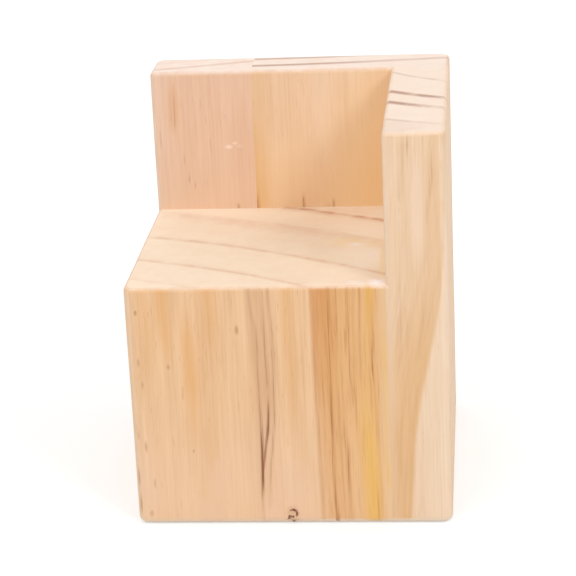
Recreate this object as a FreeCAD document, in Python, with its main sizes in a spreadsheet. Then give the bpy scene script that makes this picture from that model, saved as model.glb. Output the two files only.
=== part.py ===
import FreeCAD, Part
import os
import Sketcher

# Corner bed riser: a pine block with a flat seat for a bed leg and an upright lip on two sides.
# It is glued up from a core block, a side board and a back board of two staves, and its edges
# are rounded after the glue-up, so each round runs flush across the glue lines.
# Frame: millimetres, +Z up, origin at the centre of the footprint on the floor,
# the lip stands on the +X side and the +Y side.

SIZES = {
    "body_width": 100,
    "body_depth": 100,
    "seat_height": 80,
    "lip_height": 48,
    "board_thickness": 19,
    "left_stave_width": 34,
    "corner_radius": 3,
    "foot_radius": 2.5,
    "rim_radius": 1.5,
}

FULL_HEIGHT = "Sizes.seat_height + Sizes.lip_height"
CORE_WIDTH = "Sizes.body_width - Sizes.board_thickness"
CORE_DEPTH = "Sizes.body_depth - Sizes.board_thickness"
LEFT = "-Sizes.body_width / 2"
FRONT = "-Sizes.body_depth / 2"
SIDE_GLUE_PLANE = "Sizes.body_width / 2 - Sizes.board_thickness"
BACK_GLUE_PLANE = "Sizes.body_depth / 2 - Sizes.board_thickness"
STAVE_GLUE_PLANE = "Sizes.left_stave_width - Sizes.body_width / 2"
RIGHT_STAVE_WIDTH = "Sizes.body_width - Sizes.left_stave_width"

TOUCH = 1e-4


def make_sheet(doc):
    """Driving dimensions, one row each: name and value."""
    sheet = doc.addObject("Spreadsheet::Sheet", "Sizes")
    for row, (name, value) in enumerate(SIZES.items(), start=1):
        sheet.set(f"A{row}", name)
        sheet.set(f"B{row}", str(value))
        sheet.setAlias(f"B{row}", name)
    doc.recompute()
    return sheet


def origin_plane(body, role):
    return next(plane for plane in body.Origin.OriginFeatures if plane.Role == role)


def rectangle_sketch(body, name, width, depth):
    """A rectangle on the floor plane, from the body's own origin towards +X and +Y."""
    sketch = body.newObject("Sketcher::SketchObject", name)
    sketch.AttachmentSupport = (origin_plane(body, "XY_Plane"), "")
    sketch.MapMode = "FlatFace"
    corners = [(0, 0), (1, 0), (1, 1), (0, 1)]
    points = [FreeCAD.Vector(x, y, 0) for x, y in corners]
    for start, end in zip(points, points[1:] + points[:1]):
        sketch.addGeometry(Part.LineSegment(start, end), False)
    for line in range(4):
        sketch.addConstraint(Sketcher.Constraint("Coincident", line, 2, (line + 1) % 4, 1))
    for line, way in enumerate(("Horizontal", "Vertical", "Horizontal", "Vertical")):
        sketch.addConstraint(Sketcher.Constraint(way, line))
    sketch.addConstraint(Sketcher.Constraint("Coincident", 0, 1, -1, 1))
    across = sketch.addConstraint(Sketcher.Constraint("DistanceX", 0, 1, 0, 2, 1))
    along = sketch.addConstraint(Sketcher.Constraint("DistanceY", 1, 1, 1, 2, 1))
    sketch.setExpression(f"Constraints[{across}]", width)
    sketch.setExpression(f"Constraints[{along}]", depth)
    return sketch


def middle(edge):
    return edge.valueAt((edge.FirstParameter + edge.LastParameter) / 2)


def add_round(doc, body, name, base, wanted, radius):
    """Rounds each edge of the base feature that the test picks."""
    doc.recompute()
    names = [f"Edge{count}" for count, edge in enumerate(base.Shape.Edges, start=1) if wanted(edge)]
    rounded = body.newObject("PartDesign::Fillet", name)
    rounded.Base = (base, names)
    rounded.setExpression("Radius", radius)
    return rounded


def make_rounded_form(doc, sheet):
    """The riser's whole outer form: the glued block, the open seat cut into it, and the rounds."""
    body = doc.addObject("PartDesign::Body", "RoundedForm")
    body.setExpression("Placement.Base.x", LEFT)
    body.setExpression("Placement.Base.y", FRONT)

    footprint = rectangle_sketch(body, "Footprint", "Sizes.body_width", "Sizes.body_depth")
    block = body.newObject("PartDesign::Pad", "Block")
    block.Profile = footprint
    block.setExpression("Length", FULL_HEIGHT)

    # The seat is open to the front, the left and above; its other two sides are the lip.
    seat_plan = rectangle_sketch(body, "SeatPlan", CORE_WIDTH, CORE_DEPTH)
    seat_plan.setExpression("AttachmentOffset.Base.z", FULL_HEIGHT)
    seat = body.newObject("PartDesign::Pocket", "Seat")
    seat.Profile = seat_plan
    seat.setExpression("Length", "Sizes.lip_height")

    width = sheet.body_width
    depth = sheet.body_depth
    seat_level = sheet.seat_height
    inner_x = width - sheet.board_thickness
    inner_y = depth - sheet.board_thickness

    def near(value, target):
        return abs(value - target) < TOUCH

    def outer_corner(edge):
        """An upright edge at one of the four corners of the footprint."""
        point = middle(edge)
        return (near(point.x, 0) or near(point.x, width)) and (near(point.y, 0) or near(point.y, depth))

    def foot_edge(edge):
        return near(middle(edge).z, 0)

    def inside_corner(edge):
        """The three hollow edges where the seat and the two lip faces meet."""
        point = middle(edge)
        on_side = near(point.x, inner_x) and point.y < inner_y + TOUCH
        on_back = near(point.y, inner_y) and point.x < inner_x + TOUCH
        return (on_side and on_back) or (near(point.z, seat_level) and (on_side or on_back))

    def rim_edge(edge):
        """Edges round the seat, the lip's two upright ends and the lip's top."""
        point = middle(edge)
        level = near(point.z, seat_level) or near(point.z, seat_level + sheet.lip_height)
        upright_end = near(point.x, inner_x) and near(point.y, 0)
        upright_end = upright_end or (near(point.y, inner_y) and near(point.x, 0))
        return (level or upright_end) and not inside_corner(edge)

    corners = add_round(doc, body, "OuterCorners", seat, outer_corner, "Sizes.corner_radius")
    foot = add_round(doc, body, "FootEdges", corners, foot_edge, "Sizes.foot_radius")
    rim = add_round(doc, body, "RimEdges", foot, rim_edge, "Sizes.rim_radius")
    body.Tip = rim
    return body


def make_stave(doc, form, label, size, place):
    """One glued piece: its planed blank, cut to the rounded form."""
    blank = doc.addObject("Part::Box", f"{label}_blank")
    for side, expression in zip(("Length", "Width", "Height"), size):
        blank.setExpression(side, expression)
    for axis, expression in zip("xyz", place):
        blank.setExpression(f"Placement.Base.{axis}", expression)
    stave = doc.addObject("Part::Common", label)
    stave.Base = form
    stave.Tool = blank
    # The faces stay parted at the seat, so the lip's free face and the glued face below it are two.
    stave.Refine = False
    stave.Label = label
    return stave


def make_staves(doc, form):
    thickness = "Sizes.board_thickness"
    floor = "0"
    return [
        make_stave(doc, form, "core_block",
                   (CORE_WIDTH, CORE_DEPTH, "Sizes.seat_height"), (LEFT, FRONT, floor)),
        make_stave(doc, form, "side_board",
                   (thickness, CORE_DEPTH, FULL_HEIGHT), (SIDE_GLUE_PLANE, FRONT, floor)),
        make_stave(doc, form, "back_stave_left",
                   ("Sizes.left_stave_width", thickness, FULL_HEIGHT), (LEFT, BACK_GLUE_PLANE, floor)),
        make_stave(doc, form, "back_stave_right",
                   (RIGHT_STAVE_WIDTH, thickness, FULL_HEIGHT), (STAVE_GLUE_PLANE, BACK_GLUE_PLANE, floor)),
    ]


def check(doc, staves):
    """Stops before anything is written if a feature failed or a piece is not one sound solid."""
    for item in doc.Objects:
        if "Invalid" in item.State or "Error" in item.State:
            raise RuntimeError(f"{item.Label} failed: {item.State}")
    for stave in staves:
        shape = stave.Shape
        if shape.isNull() or not shape.isValid() or len(shape.Solids) != 1:
            raise RuntimeError(f"{stave.Label} is not one valid solid")


def main():
    doc = FreeCAD.newDocument("bed_riser")
    sheet = make_sheet(doc)
    form = make_rounded_form(doc, sheet)
    staves = make_staves(doc, form)
    doc.recompute()
    check(doc, staves)
    os.makedirs("parts", exist_ok=True)
    for stave in staves:
        stave.Shape.exportStep(f"parts/{stave.Label}.step")
        print(stave.Label, round(stave.Shape.Volume / 1000, 2), "cm3")


main()
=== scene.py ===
"""A corner bed riser glued up from four pieces of pine, dressed over its CAD frame."""
import math

import bpy
from mathutils import Matrix, Vector


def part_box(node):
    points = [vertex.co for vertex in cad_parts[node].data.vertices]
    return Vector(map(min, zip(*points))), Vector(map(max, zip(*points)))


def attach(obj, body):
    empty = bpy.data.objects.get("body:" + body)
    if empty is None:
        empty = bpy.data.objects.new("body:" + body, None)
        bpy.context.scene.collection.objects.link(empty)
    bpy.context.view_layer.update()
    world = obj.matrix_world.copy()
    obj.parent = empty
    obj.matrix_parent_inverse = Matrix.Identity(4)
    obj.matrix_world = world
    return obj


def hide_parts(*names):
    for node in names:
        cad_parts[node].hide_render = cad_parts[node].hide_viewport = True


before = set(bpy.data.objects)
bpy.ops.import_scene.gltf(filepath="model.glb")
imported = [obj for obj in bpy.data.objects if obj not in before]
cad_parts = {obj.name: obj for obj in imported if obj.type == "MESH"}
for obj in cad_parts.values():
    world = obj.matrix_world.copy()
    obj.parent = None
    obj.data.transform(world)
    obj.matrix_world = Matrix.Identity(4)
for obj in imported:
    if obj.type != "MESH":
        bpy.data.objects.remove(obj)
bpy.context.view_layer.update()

# Lengths are written in millimetres and turned to metres where a tool needs them
MM = 0.001

# Rounds that the sander left, as in the CAD frame
CORNER_RADIUS = 3.0 * MM
FOOT_RADIUS = 2.5 * MM
RIM_RADIUS = 1.5 * MM
ROUND_STEPS = 6
SMOOTH_ANGLE = math.radians(32)

# Unevenness left by hand sanding
GRID_STEP = 4.0 * MM
WAVE_LENGTH = 26.0 * MM
WAVE_HEIGHT = 0.20 * MM
FLAT_FOOT_HEIGHT = 6.0 * MM

# The camera stands where the photograph's stood, and is turned to centre the riser
CAMERA_PLACE = Vector((62.82, -672.56, 299.21)) * MM
CAMERA_AIM = Vector((-3.68, 0.0, 61.88)) * MM
CAMERA_ROLL = math.radians(2.644)
LENS_LENGTH = 135.89
SENSOR_WIDTH = 36.0
NEAR_LIMIT = 0.01

# Light levels, and the floor's tone, glow and width in metres
SKY_LEVEL = 0.58
FLOOR_TONE = 0.62
FLOOR_GLOW = 0.45
FLOOR_SIZE = 12.0

# A pin knot low on the front, cut by a tilted ring that stands a little out of the wood
KNOT_PLACE = (-0.4, 3.7)
KNOT_RADIUS = 1.25
KNOT_GROOVE = 0.42
KNOT_STRETCH = 1.1
KNOT_TILT = math.radians(10)
KNOT_OUT = 0.30
KNOT_RING_STEPS = 32
KNOT_GROOVE_STEPS = 10
PIT_STEPS = 3

# Pits in the knot: place across, inwards and up from its middle, and radius
KNOT_PITS = (
    (-1.00, 0.0, -0.95, 0.58),
    (-1.30, 0.05, -1.60, 0.50),
    (-0.10, 0.0, -1.00, 0.42),
    (0.15, 0.6, -2.90, 0.65),
)

# Saw nicks at the foot of the lip's inner face: depth, narrowing at the top, and the cutter's overshoot
NICK_DEPTH = 0.25
NICK_NARROWING = 0.25
NICK_OUT = 1.0
NICK_BELOW = 2.0

# Place across, height and width of each nick
RIGHT_NICKS = ((0.0, 3.6, 0.5), (10.2, 2.4, 0.45), (-15.7, 3.6, 0.4))


# Sizes taken from the frame

CORE_LOW, CORE_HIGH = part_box("core_block")
SIDE_LOW, SIDE_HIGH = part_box("side_board")
LAST_LOW, LAST_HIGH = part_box("back_stave_right")

LEFT = CORE_LOW.x
FRONT = CORE_LOW.y
RIGHT = SIDE_HIGH.x
BACK = LAST_HIGH.y
SEAT = CORE_HIGH.z
TOP = SIDE_HIGH.z
SIDE_GLUE = SIDE_LOW.x
BACK_GLUE = LAST_LOW.y
STAVE_GLUE = LAST_LOW.x
TINY = 0.01 * MM
FLAT_ANGLE = math.radians(1)
UPWARDS = 0.9
SLAB_SPARE = 5.0 * MM


# Bench tools: selecting, parting and carving

EDGE_MODE = (False, True, False)
FACE_MODE = (False, False, True)


def near(first, second):
    """True where two lengths are the same but for rounding."""
    return abs(first - second) < TINY


def only(piece):
    """Leaves edit mode, and makes the piece the one selected and active object."""
    if bpy.context.mode != "OBJECT":
        bpy.ops.object.mode_set(mode="OBJECT")
    bpy.ops.object.select_all(action="DESELECT")
    piece.select_set(True)
    bpy.context.view_layer.objects.active = piece


def open_all(piece):
    """Opens the piece in edit mode with everything selected."""
    only(piece)
    bpy.ops.object.mode_set(mode="EDIT")
    bpy.ops.mesh.select_all(action="SELECT")


def clear_selection(piece, mode):
    """Leaves edit mode, sets what is selected next and deselects all of the piece's mesh."""
    only(piece)
    bpy.context.tool_settings.mesh_select_mode = mode
    mesh = piece.data
    for parts in (mesh.vertices, mesh.edges, mesh.polygons):
        parts.foreach_set("select", [False] * len(parts))
    return mesh


def open_edges(piece, wanted):
    """Opens the piece in edit mode with only the edges selected whose two ends are as wanted."""
    mesh = clear_selection(piece, EDGE_MODE)
    for edge in mesh.edges:
        start, end = (mesh.vertices[index].co for index in edge.vertices)
        edge.select = wanted(start, end)
    bpy.ops.object.mode_set(mode="EDIT")


def open_faces(piece, wanted):
    """Opens the piece in edit mode with only the faces selected that are as wanted."""
    mesh = clear_selection(piece, FACE_MODE)
    for face in mesh.polygons:
        face.select = wanted(face)
    bpy.ops.object.mode_set(mode="EDIT")


def new_block(name, low, high):
    """A block between two corners, with its place in its mesh."""
    bpy.ops.object.select_all(action="DESELECT")
    bpy.ops.mesh.primitive_cube_add(size=1.0, location=(0, 0, 0))
    block = bpy.context.object
    block.name = name
    open_all(block)
    bpy.ops.transform.resize(value=high - low)
    bpy.ops.transform.translate(value=(low + high) / 2)
    only(block)
    return block


def combine(piece, tool, operation):
    """Applies a boolean of the piece and the tool to the piece, and takes the tool away."""
    only(piece)
    bpy.ops.object.modifier_add(type="BOOLEAN")
    cut = piece.modifiers[-1]
    cut.operation = operation
    cut.solver = "EXACT"
    cut.object = tool
    bpy.ops.object.modifier_apply(modifier=cut.name)
    only(tool)
    bpy.ops.object.delete()
    only(piece)


# The rounded form, as it was sanded after gluing

def sanded_form():
    """The whole riser as one rounded form, before it is parted along its glue lines."""
    form = new_block("riser_form", Vector((LEFT, FRONT, 0)), Vector((RIGHT, BACK, SEAT)))
    raise_lip(form)
    round_edges(form, is_outer_corner, CORNER_RADIUS)
    round_edges(form, is_foot_edge, FOOT_RADIUS)
    round_edges(form, is_rim_edge, RIM_RADIUS)
    return form


def raise_lip(form):
    """Marks out the lip on the block's top and draws it up."""
    open_all(form)
    bpy.ops.mesh.bisect(plane_co=(SIDE_GLUE, 0, 0), plane_no=(1, 0, 0))
    bpy.ops.mesh.select_all(action="SELECT")
    bpy.ops.mesh.bisect(plane_co=(0, BACK_GLUE, 0), plane_no=(0, 1, 0))
    open_faces(form, is_lip_face)
    bpy.ops.mesh.extrude_region_move(TRANSFORM_OT_translate={"value": (0, 0, TOP - SEAT)})
    bpy.ops.mesh.select_all(action="SELECT")
    bpy.ops.mesh.dissolve_limited(angle_limit=FLAT_ANGLE)
    only(form)


def is_lip_face(face):
    """A face of the block's top that the lip stands on."""
    in_lip = face.center.x > SIDE_GLUE or face.center.y > BACK_GLUE
    return is_facing_up(face) and in_lip


def is_outer_corner(start, end):
    """An upright edge at one of the four corners of the footprint."""
    upright = near(start.x, end.x) and near(start.y, end.y)
    at_side = near(start.x, LEFT) or near(start.x, RIGHT)
    at_end = near(start.y, FRONT) or near(start.y, BACK)
    return upright and at_side and at_end


def is_foot_edge(start, end):
    """An edge of the outline on the floor."""
    return near(start.z, 0) and near(end.z, 0)


def is_rim_edge(start, end):
    """An edge of the seat's open sides, of the lip's top, or of the lip's two ends."""
    if near(start.z, TOP) and near(end.z, TOP):
        return True
    if near(start.z, SEAT) and near(end.z, SEAT):
        return is_open_side(start) and is_open_side(end)
    upright = near(start.x, end.x) and near(start.y, end.y)
    at_side_end = near(start.x, SIDE_GLUE) and near(start.y, FRONT)
    at_back_end = near(start.x, LEFT) and near(start.y, BACK_GLUE)
    return upright and (at_side_end or at_back_end) and min(start.z, end.z) > SEAT - TINY


def is_open_side(point):
    """On the outline of the seat's front and left sides, their round corner included."""
    return point.x < LEFT + CORNER_RADIUS + TINY or point.y < FRONT + CORNER_RADIUS + TINY


def round_edges(form, wanted, radius):
    """Rounds the wanted edges with an even round."""
    open_edges(form, wanted)
    bpy.ops.mesh.bevel(offset=radius, segments=ROUND_STEPS, profile=0.5, affect="EDGES")
    only(form)


# The four glued pieces

def part_stave(form, name, low, high):
    """One piece of the glued-up riser: the part of the form inside its own slab."""
    only(form)
    bpy.ops.object.duplicate()
    stave = bpy.context.object
    stave.name = name
    stave.data.name = name
    slab = new_block(name + "_slab", low, high)
    combine(stave, slab, "INTERSECT")
    return stave


def cut_grid(stave):
    """Cuts the piece's faces into small ones, so that its surface can bend."""
    corners = [Vector(corner) for corner in stave.bound_box]
    open_all(stave)
    for axis in range(3):
        low = min(corner[axis] for corner in corners)
        high = max(corner[axis] for corner in corners)
        cuts = int((high - low) / GRID_STEP)
        across = Vector((0, 0, 0))
        across[axis] = 1
        for cut in range(1, cuts):
            bpy.ops.mesh.select_all(action="SELECT")
            bpy.ops.mesh.bisect(plane_co=across * (low + cut * GRID_STEP), plane_no=across)
    bpy.ops.mesh.select_all(action="SELECT")
    bpy.ops.mesh.dissolve_degenerate(threshold=TINY)
    only(stave)


def sand_by_hand(stave, waves):
    """Gives the piece the slight unevenness of hand sanding, the same on both sides of a glue line."""
    group = stave.vertex_groups.new(name="above_floor")
    for vertex in stave.data.vertices:
        share = min(1.0, max(0.0, vertex.co.z / FLAT_FOOT_HEIGHT))
        group.add([vertex.index], share, "REPLACE")
    only(stave)
    bpy.ops.object.modifier_add(type="DISPLACE")
    sanding = stave.modifiers[-1]
    sanding.texture = waves
    sanding.texture_coords = "LOCAL"
    sanding.direction = "RGB_TO_XYZ"
    sanding.space = "LOCAL"
    sanding.mid_level = 0.5
    sanding.strength = WAVE_HEIGHT
    sanding.vertex_group = group.name
    bpy.ops.object.modifier_apply(modifier=sanding.name)
    stave.vertex_groups.clear()


def smooth_rounds(stave):
    """Shades the rounds smooth and keeps the flats flat and the glued edges sharp."""
    only(stave)
    bpy.ops.object.shade_smooth_by_angle(angle=SMOOTH_ANGLE)
    bpy.ops.object.modifier_add(type="WEIGHTED_NORMAL")
    weighting = stave.modifiers[-1]
    weighting.keep_sharp = True
    bpy.ops.object.modifier_apply(modifier=weighting.name)


def carve_knot(core):
    """A pin knot low on the front: an arc where the bark has shrunk away, and a few pits."""
    middle = Vector((KNOT_PLACE[0] * MM, FRONT, KNOT_PLACE[1] * MM))
    bpy.ops.object.select_all(action="DESELECT")
    bpy.ops.mesh.primitive_torus_add(major_radius=KNOT_RADIUS * MM, minor_radius=KNOT_GROOVE * MM,
                                     major_segments=KNOT_RING_STEPS, minor_segments=KNOT_GROOVE_STEPS,
                                     rotation=(math.radians(90), 0, 0),
                                     location=middle - Vector((0, KNOT_OUT, 0)) * MM)
    ring = bpy.context.object
    open_all(ring)
    bpy.ops.transform.resize(value=(1.0, 1.0, KNOT_STRETCH))
    bpy.ops.transform.rotate(value=-KNOT_TILT, orient_axis="Z", center_override=middle)
    bpy.ops.transform.rotate(value=KNOT_TILT, orient_axis="X", center_override=middle)
    combine(core, ring, "DIFFERENCE")
    for across, inwards, up, radius in KNOT_PITS:
        bpy.ops.object.select_all(action="DESELECT")
        bpy.ops.mesh.primitive_ico_sphere_add(subdivisions=PIT_STEPS, radius=radius * MM,
                                              location=middle + Vector((across, inwards, up)) * MM)
        combine(core, bpy.context.object, "DIFFERENCE")


def cut_nicks(stave, places):
    """Saw nicks at the foot of the lip's inner face: a place across, a height and a width for each."""
    for number, (across, height, width) in enumerate(places):
        low = Vector((across - width / 2, BACK_GLUE / MM - NICK_OUT, SEAT / MM - NICK_BELOW)) * MM
        high = Vector((across + width / 2, BACK_GLUE / MM + NICK_DEPTH, SEAT / MM + height)) * MM
        nick = new_block("nick_%d" % number, low, high)
        open_faces(nick, is_facing_up)
        bpy.ops.transform.resize(value=(NICK_NARROWING, 1.0, 1.0))
        combine(stave, nick, "DIFFERENCE")


def is_facing_up(face):
    """A face that looks upwards."""
    return face.normal.z > UPWARDS


def sanding_waves():
    """The field of small shifts that all four pieces share."""
    waves = bpy.data.textures.new("sanding_waves", "CLOUDS")
    waves.cloud_type = "COLOR"
    waves.noise_scale = WAVE_LENGTH
    waves.noise_depth = 1
    return waves


def make_staves():
    """The four pieces, parted from one form, keyed by the CAD node that each stands for."""
    form = sanded_form()
    outer_low = Vector((LEFT, FRONT, 0)) - Vector((1, 1, 1)) * SLAB_SPARE
    outer_high = Vector((RIGHT, BACK, TOP)) + Vector((1, 1, 1)) * SLAB_SPARE
    slabs = {
        "core_block": ("pine_core", (outer_low.x, outer_low.y), (SIDE_GLUE, BACK_GLUE)),
        "side_board": ("pine_side", (SIDE_GLUE, outer_low.y), (outer_high.x, BACK_GLUE)),
        "back_stave_left": ("pine_back_left", (outer_low.x, BACK_GLUE), (STAVE_GLUE, outer_high.y)),
        "back_stave_right": ("pine_back_right", (STAVE_GLUE, BACK_GLUE), (outer_high.x, outer_high.y)),
    }
    staves = {}
    for node, (name, low, high) in slabs.items():
        low_corner = Vector((*low, outer_low.z))
        high_corner = Vector((*high, outer_high.z))
        staves[node] = part_stave(form, name, low_corner, high_corner)
    only(form)
    bpy.ops.object.delete()
    carve_knot(staves["core_block"])
    cut_nicks(staves["back_stave_right"], RIGHT_NICKS)
    waves = sanding_waves()
    for stave in staves.values():
        cut_grid(stave)
        sand_by_hand(stave, waves)
        smooth_rounds(stave)
    return staves


# Colours and the nodes of a finish

def rgb(red, green, blue):
    """A colour on the 0 to 255 scale of a screen, as the linear values that a socket takes (sRGB)."""
    shares = [channel / 255 for channel in (red, green, blue)]
    linear = [((share + 0.055) / 1.055) ** 2.4 if share > 0.04045 else share / 12.92 for share in shares]
    return (*linear, 1.0)


def grey(share):
    """A grey of that linear share."""
    return (share, share, share, 1.0)


def coat(share, red, green, blue):
    """A coat of colour: the most of it that shows, and its tone."""
    return share, rgb(red, green, blue)


class Nodes:
    """The nodes of a material or a sky, built up with a short call for each kind of sum."""

    def __init__(self, owner):
        owner.use_nodes = True
        self.nodes = owner.node_tree.nodes
        self.links = owner.node_tree.links
        self.nodes.clear()

    def feed(self, socket, value):
        """Links a socket into another, or sets a plain value on it."""
        if isinstance(value, bpy.types.NodeSocket):
            self.links.new(value, socket)
        else:
            socket.default_value = value

    def add(self, kind, *values, **settings):
        """A shader node of that kind with its settings, and its inputs fed in order but for None."""
        node = self.nodes.new("ShaderNode" + kind)
        for setting, choice in settings.items():
            setattr(node, setting, choice)
        for socket, value in zip(node.inputs, values):
            if value is not None:
                self.feed(socket, value)
        return node

    def math(self, operation, *values):
        """A sum of one to three numbers."""
        return self.add("Math", *values, operation=operation).outputs[0]

    def times(self, *factors):
        """The product of several numbers."""
        product = factors[0]
        for factor in factors[1:]:
            product = self.math("MULTIPLY", product, factor)
        return product

    def most(self, *shares):
        """The strongest of several shares."""
        strongest = shares[0]
        for share in shares[1:]:
            strongest = self.math("MAXIMUM", strongest, share)
        return strongest

    def spread(self, value, start, end, low=0.0, high=1.0, shape="LINEAR"):
        """A step from low at start to high at end, straight unless another shape is named."""
        return self.add("MapRange", value, start, end, low, high, interpolation_type=shape).outputs[0]


# The wood's surface
BUMP_STRENGTH = 0.35
BUMP_DEPTH = 0.08 * MM
SHEEN = 0.2

# The way that a noise moves with its shift
SHIFT_WAY = (1.0, 0.7, 0.3)

# The slow sway of growth rings: size across and along the fibres, detail, roughness and shift
RING_SWAY = (24, 220, 1.0, 0.5, 0)

# A spot is full up to this share of its reach
SPOT_CORE = 0.2


class Finish(Nodes):
    """The nodes of one wood finish, placed in millimetres on the piece."""

    def __init__(self, name):
        self.material = bpy.data.materials.new(name)
        super().__init__(self.material)
        self.place = self.vector("SCALE", self.add("TexCoord").outputs["Object"], scale=1 / MM)
        self.x, self.y, self.z = self.split(self.place)
        self.facing_x, self.facing_y, self.facing_z = self.split(self.add("NewGeometry").outputs["Normal"])

    def split(self, value):
        """The three parts of a vector."""
        return self.add("SeparateXYZ", value).outputs

    def join(self, first, second, third):
        """A vector of three parts."""
        return self.add("CombineXYZ", first, second, third).outputs[0]

    def vector(self, operation, first, second=None, scale=None):
        """A sum of vectors."""
        node = self.add("VectorMath", first, second, None, scale, operation=operation)
        return node.outputs["Value"] if operation == "LENGTH" else node.outputs["Vector"]

    def fade(self, value, *step):
        """A soft step: its start, its end and, where these are not 0 and 1, the value at each."""
        return self.spread(value, *step, shape="SMOOTHSTEP")

    def noise(self, grain, shift=0.0, place=None):
        """Noise of one grain: its size across and along the fibres, detail, roughness and own shift."""
        across, along, detail, roughness, own_shift = grain
        mapping = self.add("Mapping", self.place if place is None else place)
        mapping.inputs["Location"].default_value = [(shift + own_shift) * way for way in SHIFT_WAY]
        mapping.inputs["Scale"].default_value = (1 / across, 1 / across, 1 / along)
        node = self.add("TexNoise", mapping.outputs[0])
        node.inputs["Scale"].default_value = 1.0
        node.inputs["Detail"].default_value = detail
        node.inputs["Roughness"].default_value = roughness
        return node.outputs[0]

    def steps(self, value, stops):
        """A number read off a line of stops, each a place and a strength."""
        first = stops[0][0]
        last = stops[-1][0]
        node = self.add("ValToRGB", self.spread(value, first, last))
        points = node.color_ramp.elements
        while len(points) < len(stops):
            points.new(0.5)
        for point, (place, strength) in zip(points, stops):
            point.position = (place - first) / (last - first)
            point.color = grey(strength)
        return node.outputs[0]

    def curve(self, value, points):
        """A number read off a smooth curve through points, each a place and a height."""
        first = points[0][0]
        last = points[-1][0]
        bottom = min(height for place, height in points)
        rise = max(height for place, height in points) - bottom or 1.0
        node = self.add("FloatCurve")
        self.feed(node.inputs["Value"], self.spread(value, first, last))
        line = node.mapping.curves[0]
        for place, height in points[1:-1]:
            line.points.new((place - first) / (last - first), 0.5)
        for point, (place, height) in zip(line.points, points):
            point.location = ((place - first) / (last - first), (height - bottom) / rise)
            point.handle_type = "AUTO_CLAMPED"
        node.mapping.update()
        return self.math("MULTIPLY_ADD", node.outputs[0], rise, bottom)

    def mix(self, share, under, over):
        """One colour laid over another."""
        node = self.add("Mix", share, data_type="RGBA")
        self.feed(node.inputs[6], under)
        self.feed(node.inputs[7], over)
        return node.outputs[2]

    def lay(self, colour, layer, *masks):
        """A coat laid over a colour, held back by masks."""
        share, tone = layer
        return self.mix(self.times(*masks, share), colour, tone)

    def rings(self, centre, lean, wobble):
        """The distance from the tree's heart, in millimetres, with the wobble of real rings."""
        away = self.vector("MULTIPLY", self.vector("SUBTRACT", self.place, (*centre, 0)), (1, 1, 0))
        distance = self.vector("LENGTH", away)
        sway = self.math("SUBTRACT", self.noise(RING_SWAY), 0.5)
        tilted = self.math("MULTIPLY_ADD", self.z, lean, distance)
        return self.math("MULTIPLY_ADD", sway, 2 * wobble, tilted)

    def line(self, across, path, half_width):
        """A line drawn along a given path: path holds a height, the place across and the strength."""
        middle = self.curve(self.z, [(height, offset) for height, offset, strength in path])
        strength = self.steps(self.z, [(height, strength) for height, offset, strength in path])
        gap = self.math("ABSOLUTE", self.math("SUBTRACT", across, middle))
        return self.times(self.fade(gap, half_width, 0.0), strength)

    def lines(self, across, paths):
        """Several drawn lines, each with its path and half width."""
        return self.most(*[self.line(across, path, width) for path, width in paths])

    def spot(self, across, along, middle, half_width, half_height, strength):
        """A soft oval spot."""
        level = self.math("DIVIDE", self.math("SUBTRACT", across, middle[0]), half_width)
        upright = self.math("DIVIDE", self.math("SUBTRACT", along, middle[1]), half_height)
        reach = self.vector("LENGTH", self.join(level, upright, 0.0))
        return self.fade(reach, 1.0, SPOT_CORE, 0.0, strength)

    def spots(self, across, along, places):
        """Several soft oval spots: middle, half width, half height and strength of each."""
        return self.most(*[self.spot(across, along, *place) for place in places])

    def surface(self, colour, height, roughness):
        """Ends the nodes in a satin bare-wood shader."""
        bump = self.add("Bump")
        bump.inputs["Strength"].default_value = BUMP_STRENGTH
        bump.inputs["Distance"].default_value = BUMP_DEPTH
        self.feed(bump.inputs["Height"], height)
        shader = self.add("BsdfPrincipled")
        self.feed(shader.inputs["Base Color"], colour)
        self.feed(shader.inputs["Roughness"], roughness)
        shader.inputs["Specular IOR Level"].default_value = SHEEN
        self.feed(shader.inputs["Normal"], bump.outputs[0])
        self.add("OutputMaterial", shader.outputs[0])
        return self.material


# What all four pine finishes share

# Grains: size across and along the fibres in millimetres, detail, roughness and shift
FIBRES = (0.62, 26, 4.0, 0.68, 0)
STREAKS = (3.2, 170, 3.0, 0.6, 3)
BANDS = (11, 320, 1.0, 0.5, 7)
RESIN = (0.5, 5.5, 1.0, 0.5, 11)
STRANDS = (0.50, 24, 3.0, 0.60, 13)
MOTTLE = (5.5, 5.5, 3.0, 0.6, 17)
PORES = (0.5, 0.5, 2.0, 0.5, 19)
NAP = (0.6, 0.6, 2.0, 0.5, 23)
CLOUDS = (7, 30, 2.0, 0.5, 27)
EDGE_PATCHES = (3, 9, 2.0, 0.5, 53)

# Soft steps: start, end and, where these are not 0 and 1, the value at each
FACES_FRONT = (-0.6, -0.95)
CUT_ACROSS = (0.20, 0.85)
WARM_BANDS = (0.35, 0.65)
DARK_STREAKS = (0.40, 0.75, 0.0, 0.30)
DARK_FIBRES = (0.42, 0.78, 0.0, 0.42)
PALE_FIBRES = (0.50, 0.25, 0.0, 0.35)
DARK_RESIN = (0.67, 0.78)
DARK_CLOUDS = (0.42, 0.75, 0.0, 0.22)
DRAWN_FIBRES = (0.62, 1.0)
DRAWN_INSIDE = (0.0, 0.7)
DULL_MOTTLE = (0.35, 0.75, 0.0, 0.6)
DULL_PORES = (0.5, 0.8, 0.0, 0.25)
ROUNDED = (0.985, 0.90, 0.0, 0.45)
# Patches where rounded edges turn pale, partly sanded wood and partly a painted highlight
EDGE_WEAR_AND_HIGHLIGHT = (0.3, 0.6, 0.5, 1.0)
UPPER_RIM = (0.15, 0.40)
# Height of the painted highlight along the foot
FOOT_HIGHLIGHT_HEIGHT = (2.6, 0.8, 0.0, 0.9)
SATIN = (0.3, 0.7, 0.58, 0.72)

RESIN_SHARE = 0.45
DRAWN_RAISE = 0.40
# Painted highlight: the pale tone along the foot
FOOT_HIGHLIGHT_TONE = rgb(254, 236, 214)


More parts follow.
